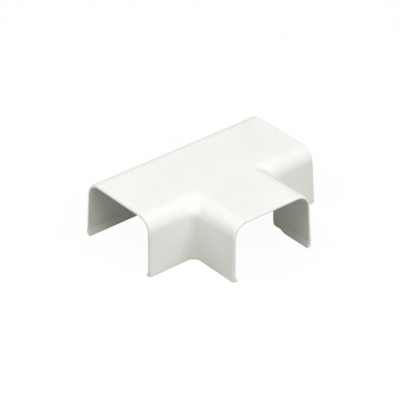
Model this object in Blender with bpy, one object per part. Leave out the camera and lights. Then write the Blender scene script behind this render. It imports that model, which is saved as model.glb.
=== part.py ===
"""Tee cover for surface cable trunking: one thin moulded shell, open underneath and at its three ends.

The run lies along X and the branch leaves it towards -Y. The rims stand on z = 0, and the origin is
under the middle of the fitting. All sizes are in metres.
"""

import math

import bmesh
import bpy

MM = 0.001

# Outside of the fitting
RUN_LENGTH = 90.0 * MM          # over the rims; the drafted ends make the roof shorter
RUN_WIDTH = 43.2 * MM           # across the run, over its rims
BRANCH_WIDTH = RUN_WIDTH        # an equal tee: the branch takes the same trunking as the run
BRANCH_REACH = 24.3 * MM        # from the run's rim to the rim of the branch's open end
HEIGHT = 27.0 * MM
ROOF_RADIUS = 7.0 * MM          # between the roof and the walls, on the outside
CORNER_RADIUS = 3.2 * MM        # upright hollow corner between run and branch; it dies out at the roof
END_RADIUS = 0.95 * MM          # outer edge of each open end
EDGE_LIMIT = 0.9                # that edge takes at most this share of the wall and of the rim's edge

# Walls
WALL = 1.2 * MM                 # roof thickness, and each wall's thickness where it leaves the roof
OUTER_DRAFT = math.radians(2.7)
INNER_DRAFT = math.radians(1.8)
END_DRAFT = math.radians(1.8)   # each open end leans outwards on its way down to the rim
RIM_RADIUS = 1.05 * MM          # outer lower edge of each wall

# Snap lips along the lower inside edge of the straight walls
LIP_REACH = 1.05 * MM           # how far the lip stands in from the wall's inner face
LIP_NOSE = 0.45 * MM            # height of the blunt nose
LIP_RAMP = 2.5 * MM             # height of the slope from the nose back to the wall
NOSE_RADIUS = 0.2 * MM          # lower edge of the nose
LIP_FADE = 4.0 * MM             # length over which a lip dies out
LIP_SETBACK = 2.6 * MM          # plain wall between a hollow corner and the start of its lip

# Fineness of the round stretches
ROOF_SEGMENTS = 12
CORNER_SEGMENTS = 12
END_SEGMENTS = 4
RIM_SEGMENTS = 5
NOSE_SEGMENTS = 3
SHARP_ANGLE = math.radians(30)  # edges that turn by more than this stay sharp
SAME_PLACE = 0.0001 * MM        # vertices closer than this are one

PLASTIC_COLOUR = (0.86, 0.87, 0.82, 1.0)
PLASTIC_ROUGHNESS = 0.42

# Worked out from the sizes above
EDGE = min(END_RADIUS, EDGE_LIMIT * WALL, EDGE_LIMIT * RIM_RADIUS)
RUN_MIDDLE_Y = BRANCH_REACH / 2
BACK_Y = RUN_MIDDLE_Y + RUN_WIDTH / 2
FRONT_Y = RUN_MIDDLE_Y - RUN_WIDTH / 2
BRANCH_END_Y = FRONT_Y - BRANCH_REACH
RUN_END_X = RUN_LENGTH / 2
BRANCH_X = BRANCH_WIDTH / 2
LIP_START = CORNER_RADIUS + LIP_SETBACK


def arc(centre, radius, start, stop, segments):
    """Points (out, up) on an arc, with its angles measured from straight out towards straight up."""
    points = []
    for step in range(segments + 1):
        angle = start + (stop - start) * step / segments
        points.append((centre[0] + radius * math.cos(angle), centre[1] + radius * math.sin(angle)))
    return points


def wall_shape():
    """The lines and centres that every wall section shares, worked out from the rim upwards and back.

    The section's outermost point is at out = 0, where the rim's rounded edge meets the outer face.
    """
    outer_sin, outer_cos = math.sin(OUTER_DRAFT), math.cos(OUTER_DRAFT)
    inner_sin, inner_cos = math.sin(INNER_DRAFT), math.cos(INNER_DRAFT)
    rim_out, rim_up = -RIM_RADIUS, RIM_RADIUS
    outer_line = rim_out * outer_cos + rim_up * outer_sin + RIM_RADIUS
    roof_up = HEIGHT - ROOF_RADIUS
    roof_out = (outer_line - ROOF_RADIUS - roof_up * outer_sin) / outer_cos
    inner_line = roof_out * inner_cos + roof_up * inner_sin + ROOF_RADIUS - WALL
    return {"rim": (rim_out, rim_up), "roof": (roof_out, roof_up), "foot": inner_line / inner_cos}


SHAPE = wall_shape()


def inner_face(up):
    """How far out the wall's inner face is at a height."""
    return SHAPE["foot"] - up * math.tan(INNER_DRAFT)


def wall_section(lip, inset):
    """One wall's outline as (out, up), from the roof down the outside, round the rim and up the inside.

    lip runs from 0 (plain rim) to 1 (full snap lip), and inset draws the outside in at a rounded end.
    """
    roof, rim = SHAPE["roof"], SHAPE["rim"]
    quarter = math.pi / 2
    outline = arc(roof, ROOF_RADIUS - inset, quarter, OUTER_DRAFT, ROOF_SEGMENTS)
    for out, up in arc(rim, RIM_RADIUS, OUTER_DRAFT, -quarter, RIM_SEGMENTS):
        outline.append((out - inset * (out - rim[0]) / RIM_RADIUS, up))
    nose_out = SHAPE["foot"] - LIP_REACH * lip + NOSE_RADIUS
    outline += arc((nose_out, NOSE_RADIUS), NOSE_RADIUS, -quarter, -math.pi, NOSE_SEGMENTS)
    outline.append((inner_face(LIP_NOSE) - LIP_REACH * lip, LIP_NOSE))
    ramp_up = LIP_NOSE + LIP_RAMP
    outline.append((inner_face(ramp_up), ramp_up))
    outline += arc(roof, ROOF_RADIUS - WALL, INNER_DRAFT, quarter, ROOF_SEGMENTS)
    return outline


def place_section(mesh, foot, outward, lip=1.0, inset=0.0, lean=(0.0, 0.0)):
    """Stand one wall section in the mesh with its outermost point over foot, facing outward.

    lean is how far the section moves over for each unit of height, which gives an open end its draft.
    """
    vertices = []
    for out, up in wall_section(lip, inset):
        x = foot[0] + outward[0] * out + lean[0] * up
        y = foot[1] + outward[1] * out + lean[1] * up
        vertices.append(mesh.verts.new((x, y, up)))
    return vertices


def corner_radii(section):
    """Radius of the hollow corner, seen from above, at each point of the plain section.

    Over the rounds under the roof it shrinks to nothing: there run and branch meet in a mitre.
    """
    radii = [CORNER_RADIUS - out for out, up in section]
    roof_out = SHAPE["roof"][0]
    last = len(section) - 1
    for foot, round_points in (
        (ROOF_SEGMENTS, range(ROOF_SEGMENTS)),
        (last - ROOF_SEGMENTS, range(last - ROOF_SEGMENTS + 1, last + 1)),
    ):
        for point in round_points:
            share = (section[point][0] - roof_out) / (section[foot][0] - roof_out)
            radii[point] = radii[foot] * share
    return radii


def place_corner_section(mesh, side, angle):
    """Stand the plain section in the mesh at an angle round the hollow corner, from run to branch."""
    vertices = []
    section = wall_section(0.0, 0.0)
    for (out, up), radius in zip(section, corner_radii(section)):
        x = BRANCH_X + out + radius * (1 - math.sin(angle))
        y = FRONT_Y - out - radius * (1 - math.cos(angle))
        vertices.append(mesh.verts.new((side * x, y, up)))
    return vertices


def end_steps():
    """Distances in from an open end, and how far the outside is drawn in at each, round its edge."""
    steps = []
    for step in range(END_SEGMENTS + 1):
        angle = math.pi / 2 * step / END_SEGMENTS
        steps.append((EDGE * (1 - math.cos(angle)), EDGE * (1 - math.sin(angle))))
    return steps


def chain(mesh, vertices):
    """The edges that join a row of vertices, made where they are missing."""
    edges = []
    for pair in zip(vertices, vertices[1:]):
        edges.append(mesh.edges.get(pair) or mesh.edges.new(pair))
    return edges


def skin(mesh, rows):
    """Loft through neighbouring rows of vertices."""
    for one, two in zip(rows, rows[1:]):
        bmesh.ops.bridge_loops(mesh, edges=chain(mesh, one) + chain(mesh, two))


def fill(mesh, outline):
    """Close one flat outline with a face."""
    bmesh.ops.contextual_create(mesh, geom=chain(mesh, outline + outline[:1]))


def back_wall_arm(mesh, side):
    """The straight wall opposite the branch, from one open end to the hollow corner's place."""
    sections = []
    lean = (-side * math.tan(END_DRAFT), 0)
    for distance, inset in end_steps():
        foot = (side * (RUN_END_X - distance), BACK_Y)
        sections.append(place_section(mesh, foot, (0, 1), 1.0, inset, lean))
    for distance in (LIP_START + LIP_FADE, LIP_START, CORNER_RADIUS):
        sections.append(place_section(mesh, (side * (BRANCH_X + distance), BACK_Y), (0, 1)))
    return sections


def front_wall(mesh, side):
    """The wall from one end of the run, round the hollow corner and along the branch to its end."""
    arm = []
    lean = (-side * math.tan(END_DRAFT), 0)
    for distance, inset in end_steps():
        foot = (side * (RUN_END_X - distance), FRONT_Y)
        arm.append(place_section(mesh, foot, (0, -1), 1.0, inset, lean))
    for distance, lip in ((LIP_START + LIP_FADE, 1.0), (LIP_START, 0.0)):
        arm.append(place_section(mesh, (side * (BRANCH_X + distance), FRONT_Y), (0, -1), lip))
    corner = []
    for step in range(CORNER_SEGMENTS + 1):
        corner.append(place_corner_section(mesh, side, math.pi / 2 * step / CORNER_SEGMENTS))
    branch = []
    for distance, lip in ((LIP_START, 0.0), (LIP_START + LIP_FADE, 1.0)):
        branch.append(place_section(mesh, (side * BRANCH_X, FRONT_Y - distance), (side, 0), lip))
    lean = (0, math.tan(END_DRAFT))
    for distance, inset in reversed(end_steps()):
        foot = (side * BRANCH_X, BRANCH_END_Y + distance)
        branch.append(place_section(mesh, foot, (side, 0), 1.0, inset, lean))
    return arm, corner, branch


def span(mesh, left, right):
    """Roof and ceiling between two walls whose sections stand opposite each other."""
    for row in (0, -1):
        skin(mesh, [[section[row] for section in left], [section[row] for section in right]])


def tee_cover():
    """The whole shell: three walls, and the roof that joins them."""
    mesh = bmesh.new()
    backs, fronts = {}, {}
    for side in (-1, 1):
        backs[side] = back_wall_arm(mesh, side)
        fronts[side] = front_wall(mesh, side)
        arm, corner, branch = fronts[side]
        skin(mesh, arm + corner + branch)
        span(mesh, backs[side], arm + corner[:1])
        fill(mesh, backs[side][0] + arm[0][::-1])
    skin(mesh, backs[-1] + backs[1][::-1])
    left, right = fronts[-1], fronts[1]
    span(mesh, left[1][-1:] + left[2], right[1][-1:] + right[2])
    fill(mesh, left[2][-1] + right[2][-1][::-1])
    for row in (0, -1):
        outline = [backs[-1][-1][row], backs[1][-1][row]]
        outline += [section[row] for section in right[1]]
        outline += [section[row] for section in reversed(left[1])]
        fill(mesh, outline)
    bmesh.ops.remove_doubles(mesh, verts=mesh.verts, dist=SAME_PLACE)
    bmesh.ops.recalc_face_normals(mesh, faces=mesh.faces)
    return mesh


def plastic(name):
    """Off-white moulded plastic."""
    material = bpy.data.materials.new(name)
    material.use_nodes = True
    shader = material.node_tree.nodes["Principled BSDF"]
    shader.inputs["Base Color"].default_value = PLASTIC_COLOUR
    shader.inputs["Roughness"].default_value = PLASTIC_ROUGHNESS
    shader.inputs["Metallic"].default_value = 0.0
    return material


def add_object(name, mesh, material):
    """Put a finished mesh in the scene, shaded smooth with its edges kept sharp."""
    data = bpy.data.meshes.new(name)
    mesh.to_mesh(data)
    mesh.free()
    data.shade_smooth()
    data.set_sharp_from_angle(angle=SHARP_ANGLE)
    data.materials.append(material)
    bpy.context.collection.objects.link(bpy.data.objects.new(name, data))


def main():
    for old in list(bpy.data.objects):
        bpy.data.objects.remove(old, do_unlink=True)
    add_object("tee_cover", tee_cover(), plastic("off_white_plastic"))


main()
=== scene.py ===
import math

import bmesh
import bpy
from mathutils import Matrix, Vector


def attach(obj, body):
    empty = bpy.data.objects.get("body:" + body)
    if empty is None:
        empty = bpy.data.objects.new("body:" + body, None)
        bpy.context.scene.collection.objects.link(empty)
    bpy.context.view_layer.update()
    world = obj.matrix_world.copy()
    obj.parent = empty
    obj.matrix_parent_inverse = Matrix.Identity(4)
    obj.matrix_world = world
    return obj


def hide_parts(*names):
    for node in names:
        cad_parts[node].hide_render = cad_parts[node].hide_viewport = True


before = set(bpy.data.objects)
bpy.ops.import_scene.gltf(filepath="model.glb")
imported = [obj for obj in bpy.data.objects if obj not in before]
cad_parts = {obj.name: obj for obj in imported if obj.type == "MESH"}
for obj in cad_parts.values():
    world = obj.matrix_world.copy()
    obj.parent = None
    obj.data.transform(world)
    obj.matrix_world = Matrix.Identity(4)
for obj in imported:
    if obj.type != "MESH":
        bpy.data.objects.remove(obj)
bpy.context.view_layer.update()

MM = 0.001

# The moulding
RUN_LENGTH = 90.0 * MM
WIDTH = 43.2 * MM
BRANCH_REACH = 24.3 * MM
HEIGHT = 27.0 * MM
WALL = 1.2 * MM
ROOF_RADIUS = 7.0 * MM
HOLLOW_RADIUS = 3.2 * MM        # upright hollow corner between run and branch
OUTER_DRAFT = math.radians(2.7)
INNER_DRAFT = math.radians(1.8)
END_DRAFT = math.radians(1.8)   # lean of the open ends
RIM_RADIUS = 1.05 * MM

# Snap lip
LIP_REACH = 1.05 * MM
LIP_NOSE = 0.45 * MM
LIP_RAMP = 2.5 * MM
NOSE_RADIUS = 0.2 * MM
RAMP_RADIUS = 0.25 * MM         # where the nose meets the ramp
RAMP_TOP_RADIUS = 2 * RAMP_RADIUS
LIP_FADE = 4.0 * MM             # length over which a lip dies out
LIP_SETBACK = 2.6 * MM          # plain wall between the hollow corner and the start of its lip
LIP_START = HOLLOW_RADIUS + LIP_SETBACK

# Edges of the open ends
END_ROUND = 0.94 * MM           # outer edge
TOE_ROUND = 0.9 * MM            # the same edge under the rim
INNER_ROUND = 0.13 * MM         # inner edge
END_STEPS = (0.72, 0.5, 0.31, 0.17, 0.07, 0.02, 0.0)    # depths from the end, as shares of END_ROUND

# Steps in the rounds
ROOF_STEPS = 24
CEILING_STEPS = 20
RIM_STEPS = 8
NOSE_STEPS = 4
RAMP_STEPS = 3
HOLLOW_STEPS = 12               # round half of the hollow corner

# Helping sizes
MITRE_ANGLE = math.radians(45)  # half of the turn between run and branch
ROOF_STRIP = 2.0 * MM           # level strip between the roof's round and the flat of the roof
OVERSHOOT = 3.0 * MM            # how far the walls run on past the plane that trims an open end
FAR_AWAY = 2 * RUN_LENGTH       # a place beyond every wall
SAME_PLACE = 0.001 * MM

# Places
MIDDLE_Y = BRANCH_REACH / 2
BACK_Y = MIDDLE_Y + WIDTH / 2
FRONT_Y = MIDDLE_Y - WIDTH / 2
BRANCH_END_Y = FRONT_Y - BRANCH_REACH
RUN_END_X = RUN_LENGTH / 2
SIDE_X = WIDTH / 2
HOLLOW_CENTRE = Vector((SIDE_X + HOLLOW_RADIUS, FRONT_Y - HOLLOW_RADIUS, 0.0))

# Plastic. A pattern has its scale per metre and its detail
PLASTIC_IOR = 1.5
PLASTIC_SPECULAR = 0.35
PLASTIC_TONES = ((0.84, 0.847, 0.805, 1.0), (0.88, 0.887, 0.85, 1.0))
CLOUD_PATTERN = (45.0, 3.0)
CLOUD_LIMITS = (0.3, 0.7)       # values of the clouds at which the tone is darkest and lightest
ROUGHNESS_LIMITS = (0.44, 0.56)
GLOSS_PATTERN = (120.0, 4.0)
SKIN_PATTERN = (2600.0, 2.0)
SKIN_STRENGTH = 0.25
SKIN_DEPTH = 0.02 * MM

# Camera and studio
CAMERA_PLACE = Vector((-0.544811, -0.647073, 0.550019))
CAMERA_AIM = Vector((0.002124, 0.015834, 0.006631))
CAMERA_ROLL = math.radians(-0.0347)
CAMERA_LENS = 216.0             # millimetres, as the sensor's width
CAMERA_SENSOR = 36.0
CAMERA_NEAR = 0.05              # what lies closer to the camera isn't drawn
WHITE = (1.0, 1.0, 1.0, 1.0)
WORLD_LIGHT = 0.05
FLOOR_BOUNCE = (0.38, 0.37, 0.32, 1.0)      # the floor's colour as the fitting is lit by it
FLOOR_PALE = (0.98, 0.98, 0.98, 1.0)        # the floor's colour as it is seen
FLOOR_WHITE = 0.96              # share of plain white in the floor as it is seen
FLOOR_REACH = 3.0               # from its middle to each side
FLOOR_GAP = 0.01 * MM           # between the floor and the fitting's underside
LAMPS = {
    # name: where it hangs, width and height, watts, colour
    "top_softbox": ((0.0, 0.1, 1.5), (1.2, 1.2), 4.3, (1.0, 0.978, 0.93)),
    "front_softbox": ((0.03, -1.2, 0.9), (1.0, 1.0), 12.9, (0.96, 0.98, 1.0)),
    "right_front_softbox": ((0.85, -0.65, 1.15), (0.7, 0.7), 4.0, (0.97, 0.985, 1.0)),
    "high_left_softbox": ((-0.85, 0.0, 1.25), (0.8, 0.8), 7.6, (0.95, 0.975, 1.0)),
    "low_left_softbox": ((-1.4, -0.2, 0.45), (0.8, 0.6), 1.1, (0.955, 0.98, 1.0)),
    "back_left_softbox": ((-0.75, 0.9, 1.0), (0.8, 0.8), 6.2, (1.0, 0.985, 0.96)),
}


def outer_line():
    """Square distance of a wall's drafted outer face from the foot of its outermost line."""
    return RIM_RADIUS * (1 - math.cos(OUTER_DRAFT) + math.sin(OUTER_DRAFT))


def outer_face(up):
    """How far out the outer face of a wall stands at a height."""
    return outer_line() / math.cos(OUTER_DRAFT) - up * math.tan(OUTER_DRAFT)


def roof_centre_out():
    """How far out the centre of the round between wall and roof stands."""
    drop = (HEIGHT - ROOF_RADIUS) * math.sin(OUTER_DRAFT)
    return (outer_line() - ROOF_RADIUS - drop) / math.cos(OUTER_DRAFT)


def inner_face(up):
    """How far out the inner face of a wall stands at a height."""
    roof_out = roof_centre_out()
    rise = (HEIGHT - ROOF_RADIUS) * math.sin(INNER_DRAFT)
    line = roof_out * math.cos(INNER_DRAFT) + rise + ROOF_RADIUS - WALL
    return line / math.cos(INNER_DRAFT) - up * math.tan(INNER_DRAFT)


def everything(mesh):
    """All of a mesh, as the operators ask for it."""
    return list(mesh.verts) + list(mesh.edges) + list(mesh.faces)


def vertices_of(edges):
    """The vertices of some edges, each once."""
    return {vertex for edge in edges for vertex in edge.verts}


def round_corner(mesh, vertex, radius, steps):
    """Round one corner of a wire section to a radius."""
    before, after = [edge.other_vert(vertex).co - vertex.co for edge in vertex.link_edges]
    turn = math.pi - before.angle(after)
    bmesh.ops.bevel(mesh, geom=[vertex], offset=radius * math.tan(turn / 2), offset_type="OFFSET",
                    segments=steps, profile=0.5, affect="VERTICES", material=-1)


def wall_section(mesh, x, foot_y, outward_y):
    """Draw the section of one wall as a wire across x, with its outermost line over foot_y."""
    ceiling = HEIGHT - WALL
    ramp_top = LIP_NOSE + LIP_RAMP
    strip_out = roof_centre_out() - ROOF_STRIP
    corners = (
        # out, up, radius, steps
        (strip_out, HEIGHT, None, None),
        (outer_face(HEIGHT), HEIGHT, ROOF_RADIUS, ROOF_STEPS),
        (outer_face(0.0), 0.0, RIM_RADIUS, RIM_STEPS),
        (inner_face(0.0) - LIP_REACH, 0.0, NOSE_RADIUS, NOSE_STEPS),
        (inner_face(LIP_NOSE) - LIP_REACH, LIP_NOSE, RAMP_RADIUS, RAMP_STEPS),
        (inner_face(ramp_top), ramp_top, RAMP_TOP_RADIUS, RAMP_STEPS),
        (inner_face(ceiling), ceiling, ROOF_RADIUS - WALL, CEILING_STEPS),
        (strip_out, ceiling, None, None),
    )
    old = set(mesh.edges)
    vertices = [mesh.verts.new((x, foot_y + outward_y * out, up)) for out, up, _, _ in corners]
    for pair in zip(vertices, vertices[1:]):
        mesh.edges.new(pair)
    for vertex, (_, _, radius, steps) in zip(vertices, corners):
        if radius:
            round_corner(mesh, vertex, radius, steps)
    return [edge for edge in mesh.edges if edge not in old]


def run_on(mesh, section, travel=(0.0, 0.0, 0.0)):
    """Carry a section on by a straight travel, and give the section at its new place."""
    made = bmesh.ops.extrude_edge_only(mesh, edges=section)["geom"]
    vertices = [item for item in made if isinstance(item, bmesh.types.BMVert)]
    bmesh.ops.translate(mesh, verts=vertices, vec=travel)
    fresh = set(vertices)
    return [item for item in made if isinstance(item, bmesh.types.BMEdge) and set(item.verts) <= fresh]


def handed_on(values, section):
    """What each vertex of a section takes over from the one that it was carried on from."""
    taken = {}
    for vertex in vertices_of(section):
        neighbours = (edge.other_vert(vertex) for edge in vertex.link_edges)
        taken[vertex] = next(values[other] for other in neighbours if other in values)
    return taken


def draw_lip_in(mesh, section):
    """Flatten the lip of a front wall's section back into the wall."""
    for vertex in vertices_of(section):
        out, up = FRONT_Y - vertex.co.y, vertex.co.z
        if up < LIP_NOSE + LIP_RAMP + RAMP_RADIUS and out < -RIM_RADIUS - NOSE_RADIUS:
            shift = LIP_REACH if up <= NOSE_RADIUS else max(inner_face(up) - out, 0.0)
            bmesh.ops.translate(mesh, verts=[vertex], vec=(0.0, -shift, 0.0))


def back_wall(mesh):
    """The right half of the straight wall opposite the branch."""
    section = wall_section(mesh, 0.0, BACK_Y, 1.0)
    run_on(mesh, section, (RUN_END_X + OVERSHOOT, 0.0, 0.0))


def hollow_radius(out, up):
    """Radius of the hollow corner, seen from above. Over the roof's round it shrinks away to a mitre."""
    centre_out, centre_up = roof_centre_out(), HEIGHT - ROOF_RADIUS
    reach = math.hypot(out - centre_out, up - centre_up)
    draft = OUTER_DRAFT if reach > ROOF_RADIUS - WALL / 2 else INNER_DRAFT
    if up - centre_up <= reach * math.sin(draft) + SAME_PLACE:
        return HOLLOW_RADIUS - out
    share = max(out - centre_out, 0.0) / (reach * math.cos(draft))
    return (HOLLOW_RADIUS - centre_out - reach * math.cos(draft)) * share


def turn_hollow(mesh, section):
    """Carry a front wall's section on to the hollow corner and round it as far as the mitre."""
    shape = {vertex: (FRONT_Y - vertex.co.y, vertex.co.z) for vertex in vertices_of(section)}
    for step in range(HOLLOW_STEPS + 1):
        angle = MITRE_ANGLE * step / HOLLOW_STEPS
        section = run_on(mesh, section)
        shape = handed_on(shape, section)
        for vertex, (out, up) in shape.items():
            radius = hollow_radius(out, up)
            vertex.co.x = SIDE_X + out + radius * (1 - math.sin(angle))
            vertex.co.y = FRONT_Y - out - radius * (1 - math.cos(angle))


def front_wall(mesh):
    """The wall from the run's right end round the hollow corner and along the branch."""
    others = set(mesh.verts)
    start_x = RUN_END_X + OVERSHOOT
    fade_x = SIDE_X + LIP_START + LIP_FADE
    section = wall_section(mesh, start_x, FRONT_Y, -1.0)
    section = run_on(mesh, section, (fade_x - start_x, 0.0, 0.0))
    section = run_on(mesh, section, (-LIP_FADE, 0.0, 0.0))
    draw_lip_in(mesh, section)
    turn_hollow(mesh, section)
    mitre = Matrix.Rotation(-MITRE_ANGLE, 4, "Z") @ Matrix.Translation(-HOLLOW_CENTRE)
    vertices = [vertex for vertex in mesh.verts if vertex not in others]
    edges = list({edge for vertex in vertices for edge in vertex.link_edges})
    faces = list({face for vertex in vertices for face in vertex.link_faces})
    bmesh.ops.mirror(mesh, geom=vertices + edges + faces, matrix=mitre, merge_dist=SAME_PLACE, axis="X")


def nearest(vertices, x, y):
    """The vertex that stands closest to a place, seen from above."""
    return min(vertices, key=lambda vertex: math.hypot(vertex.co.x - x, vertex.co.y - y))


def close_level(mesh, up):
    """Close the roof or the ceiling with one level face."""
    rim = [edge for edge in mesh.edges
           if edge.is_boundary and all(abs(vertex.co.z - up) < SAME_PLACE for vertex in edge.verts)]
    vertices = vertices_of(rim)
    across = [(nearest(vertices, far_x, BACK_Y), nearest(vertices, far_x, FRONT_Y))
              for far_x in (-FAR_AWAY, FAR_AWAY)]
    across.append((nearest(vertices, -SIDE_X, -FAR_AWAY), nearest(vertices, SIDE_X, -FAR_AWAY)))
    rim += [mesh.edges.new(pair) for pair in across]
    bmesh.ops.contextual_create(mesh, geom=rim)


def edge_round(far_in, up):
    """How far an open end's edge is rounded, far_in from the wall's outermost line and at a height."""
    if up > HEIGHT - ROOF_RADIUS:
        reach = math.hypot(max(-roof_centre_out() - far_in, 0.0), up - (HEIGHT - ROOF_RADIUS))
        return END_ROUND if reach > ROOF_RADIUS - WALL / 2 else INNER_ROUND
    if far_in > RIM_RADIUS + SAME_PLACE + up * math.tan(OUTER_DRAFT):
        return INNER_ROUND
    share = min(max(up, 0.0) / RIM_RADIUS, 1.0)
    return TOE_ROUND + (END_ROUND - TOE_ROUND) * share


def trim_end(mesh, place, outward):
    """Cut the walls off at a drafted plane, and give the edges of the cut."""
    normal = outward * math.cos(END_DRAFT) + Vector((0.0, 0.0, math.sin(END_DRAFT)))
    cut = bmesh.ops.bisect_plane(mesh, geom=everything(mesh), dist=SAME_PLACE, plane_co=place,
                                 plane_no=normal, clear_outer=True, clear_inner=False)["geom_cut"]
    return [item for item in cut if isinstance(item, bmesh.types.BMEdge)]


def rim_starts(rim, place, outward):
    """Each vertex of a trimmed end: its place, the way into the wall, and how far it is rounded."""
    across = outward.cross(Vector((0.0, 0.0, 1.0)))
    starts = {}
    for vertex in vertices_of(rim):
        far_in = WIDTH / 2 - abs((vertex.co - place).dot(across))
        inward = -vertex.normal
        inward -= inward.dot(outward) * outward
        starts[vertex] = (vertex.co.copy(), inward.normalized(), edge_round(far_in, vertex.co.z))
    return starts


def finish_end(mesh, place, outward):
    """Trim an open end to its drafted plane, carry it on over its rounded edges, and close it."""
    rim = trim_end(mesh, place - outward * END_ROUND, outward)
    bmesh.ops.recalc_face_normals(mesh, faces=mesh.faces)
    mesh.normal_update()
    starts = rim_starts(rim, place, outward)
    for share in END_STEPS:
        depth = share * END_ROUND
        rim = run_on(mesh, rim)
        starts = handed_on(starts, rim)
        for vertex, (co, inward, radius) in starts.items():
            drop = max(radius - depth, 0.0)
            inset = inward * (radius - math.sqrt(radius ** 2 - drop ** 2))
            vertex.co = co + inset + outward * (END_ROUND - depth - inset.z * math.tan(END_DRAFT))
    bmesh.ops.contextual_create(mesh, geom=rim)


def tee_cover():
    """The whole shell."""
    mesh = bmesh.new()
    back_wall(mesh)
    front_wall(mesh)
    bmesh.ops.mirror(mesh, geom=everything(mesh), matrix=Matrix.Identity(4), merge_dist=SAME_PLACE,
                     axis="X")
    bmesh.ops.remove_doubles(mesh, verts=mesh.verts, dist=SAME_PLACE)
    close_level(mesh, HEIGHT)
    close_level(mesh, HEIGHT - WALL)
    finish_end(mesh, Vector((RUN_END_X, MIDDLE_Y, 0.0)), Vector((1.0, 0.0, 0.0)))
    finish_end(mesh, Vector((-RUN_END_X, MIDDLE_Y, 0.0)), Vector((-1.0, 0.0, 0.0)))
    finish_end(mesh, Vector((0.0, BRANCH_END_Y, 0.0)), Vector((0.0, -1.0, 0.0)))
    bmesh.ops.recalc_face_normals(mesh, faces=mesh.faces)
    return mesh


def add_piece(name, mesh, material):
    """Put a finished mesh in the scene, shaded smooth."""
    data = bpy.data.meshes.new(name)
    mesh.to_mesh(data)
    mesh.free()
    data.shade_smooth()
    data.materials.append(material)
    piece = bpy.data.objects.new(name, data)
    bpy.context.scene.collection.objects.link(piece)
    return piece


def keep_flats(piece):
    """Keep the flat faces flat in their shading, beside the rounds."""
    piece.modifiers.new("flat faces", "WEIGHTED_NORMAL")


def add_node(tree, kind, place, label, **settings):
    """Add a shader node with its settings."""
    node = tree.nodes.new(kind)
    node.location = place
    node.label = label
    for name, value in settings.items():
        setattr(node, name, value)
    return node


def add_noise(tree, coordinates, place, label, scale, detail):
    """Add a noise pattern that is fixed to the piece, and give its values."""
    noise = add_node(tree, "ShaderNodeTexNoise", place, label)
    noise.inputs["Scale"].default_value = scale
    noise.inputs["Detail"].default_value = detail
    tree.links.new(coordinates.outputs["Object"], noise.inputs["Vector"])
    return noise.outputs["Fac"]


def plastic():
    """Off-white moulded plastic: faintly cloudy colour, uneven gloss and the fine skin of a mould."""
    material = bpy.data.materials.new("off_white_plastic")
    material.use_nodes = True
    tree = material.node_tree
    shader = tree.nodes["Principled BSDF"]
    shader.inputs["IOR"].default_value = PLASTIC_IOR
    shader.inputs["Specular IOR Level"].default_value = PLASTIC_SPECULAR
    coordinates = add_node(tree, "ShaderNodeTexCoord", (-1300, 0), "place on the piece")

    cloud = add_noise(tree, coordinates, (-1000, 250), "clouds in the plastic", *CLOUD_PATTERN)
    tone = add_node(tree, "ShaderNodeValToRGB", (-700, 250), "tone")
    for element, limit, colour in zip(tone.color_ramp.elements, CLOUD_LIMITS, PLASTIC_TONES):
        element.position = limit
        element.color = colour
    tree.links.new(cloud, tone.inputs["Fac"])
    tree.links.new(tone.outputs["Color"], shader.inputs["Base Color"])

    gloss = add_noise(tree, coordinates, (-1000, -50), "uneven gloss", *GLOSS_PATTERN)
    rough = add_node(tree, "ShaderNodeMapRange", (-700, -50), "roughness")
    rough.inputs["To Min"].default_value, rough.inputs["To Max"].default_value = ROUGHNESS_LIMITS
    tree.links.new(gloss, rough.inputs["Value"])
    tree.links.new(rough.outputs["Result"], shader.inputs["Roughness"])

    skin = add_noise(tree, coordinates, (-1000, -350), "mould skin", *SKIN_PATTERN)
    bump = add_node(tree, "ShaderNodeBump", (-400, -350), "skin height")
    bump.inputs["Strength"].default_value = SKIN_STRENGTH
    bump.inputs["Distance"].default_value = SKIN_DEPTH
    tree.links.new(skin, bump.inputs["Height"])
    tree.links.new(bump.outputs["Normal"], shader.inputs["Normal"])
    return material


def seen_directly(tree, place):
    """A mask: 1 for the eye, for mirrors and through glass, and 0 for the light that falls on things."""
    path = add_node(tree, "ShaderNodeLightPath", place, "what looks at it")
    first_place, both_place = (place[0] + 200, place[1]), (place[0] + 400, place[1])
    first = add_node(tree, "ShaderNodeMath", first_place, "eye or mirror", operation="MAXIMUM")
    both = add_node(tree, "ShaderNodeMath", both_place, "or through glass", operation="MAXIMUM")
    tree.links.new(path.outputs["Is Camera Ray"], first.inputs[0])
    tree.links.new(path.outputs["Is Glossy Ray"], first.inputs[1])
    tree.links.new(first.outputs["Value"], both.inputs[0])
    tree.links.new(path.outputs["Is Transmission Ray"], both.inputs[1])
    return both.outputs["Value"]


def floor_material():
    """Pale paper floor that looks white and keeps a faint shadow."""
    material = bpy.data.materials.new("pale_floor")
    material.use_nodes = True
    tree = material.node_tree
    tree.nodes.clear()
    seen = seen_directly(tree, (-900, -200))
    tint = add_node(tree, "ShaderNodeMix", (-250, 250), "paper colour", data_type="RGBA")
    tint.inputs["A"].default_value = FLOOR_BOUNCE
    tint.inputs["B"].default_value = FLOOR_PALE
    paper = add_node(tree, "ShaderNodeBsdfDiffuse", (0, 200), "paper")
    white = add_node(tree, "ShaderNodeEmission", (0, 0), "white")
    share = add_node(tree, "ShaderNodeMath", (0, -200), "share of white", operation="MULTIPLY")
    share.inputs[1].default_value = FLOOR_WHITE
    mix = add_node(tree, "ShaderNodeMixShader", (250, 100), "floor")
    output = add_node(tree, "ShaderNodeOutputMaterial", (450, 100), "output")
    tree.links.new(seen, tint.inputs["Factor"])
    tree.links.new(tint.outputs["Result"], paper.inputs["Color"])
    tree.links.new(seen, share.inputs[0])
    tree.links.new(share.outputs["Value"], mix.inputs["Fac"])
    tree.links.new(paper.outputs["BSDF"], mix.inputs[1])
    tree.links.new(white.outputs["Emission"], mix.inputs[2])
    tree.links.new(mix.outputs["Shader"], output.inputs["Surface"])
    return material


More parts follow.
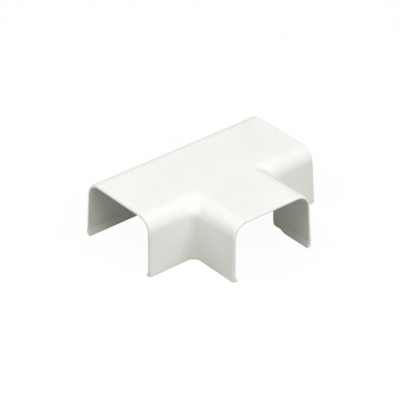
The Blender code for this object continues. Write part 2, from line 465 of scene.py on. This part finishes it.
def studio_floor():
    """The floor that the fitting stands on."""
    mesh = bmesh.new()
    bmesh.ops.create_grid(mesh, x_segments=1, y_segments=1, size=FLOOR_REACH)
    bmesh.ops.translate(mesh, verts=mesh.verts, vec=(0.0, 0.0, -FLOOR_GAP))
    floor = add_piece("studio_floor", mesh, floor_material())


def studio_world():
    """Even light from all round, on a white background."""
    world = bpy.data.worlds.new("studio")
    world.use_nodes = True
    tree = world.node_tree
    tree.nodes.clear()
    light = add_node(tree, "ShaderNodeBackground", (0, 200), "light")
    light.inputs["Color"].default_value = WHITE
    light.inputs["Strength"].default_value = WORLD_LIGHT
    white = add_node(tree, "ShaderNodeBackground", (0, 0), "white")
    white.inputs["Color"].default_value = WHITE
    mix = add_node(tree, "ShaderNodeMixShader", (250, 100), "world")
    output = add_node(tree, "ShaderNodeOutputWorld", (450, 100), "output")
    tree.links.new(seen_directly(tree, (-700, -200)), mix.inputs["Fac"])
    tree.links.new(light.outputs["Background"], mix.inputs[1])
    tree.links.new(white.outputs["Background"], mix.inputs[2])
    tree.links.new(mix.outputs["Shader"], output.inputs["Surface"])
    bpy.context.scene.world = world


def studio_lamps():
    """Large soft lamps, each turned to the fitting."""
    for name, (place, size, watts, colour) in LAMPS.items():
        data = bpy.data.lights.new(name, "AREA")
        data.shape = "RECTANGLE"
        data.size, data.size_y = size
        data.energy = watts
        data.color = colour
        lamp = bpy.data.objects.new(name, data)
        lamp.location = place
        lamp.rotation_euler = (-Vector(place)).to_track_quat("-Z", "Y").to_euler()
        bpy.context.scene.collection.objects.link(lamp)


def studio_camera():
    """The photograph's angle and framing."""
    data = bpy.data.cameras.new("camera")
    data.lens = CAMERA_LENS
    data.sensor_width = CAMERA_SENSOR
    data.clip_start = CAMERA_NEAR
    camera = bpy.data.objects.new("camera", data)
    look = (CAMERA_AIM - CAMERA_PLACE).to_track_quat("-Z", "Y").to_matrix()
    turn = look @ Matrix.Rotation(CAMERA_ROLL, 3, "Z")
    camera.matrix_world = Matrix.Translation(CAMERA_PLACE) @ turn.to_4x4()
    bpy.context.scene.collection.objects.link(camera)
    bpy.context.scene.camera = camera


def main():
    bpy.context.scene.view_settings.view_transform = "Standard"
    piece = add_piece("tee_cover_moulding", tee_cover(), plastic())
    keep_flats(piece)
    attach(piece, "root")
    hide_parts("tee_cover")
    studio_floor()
    studio_world()
    studio_lamps()
    studio_camera()


main()
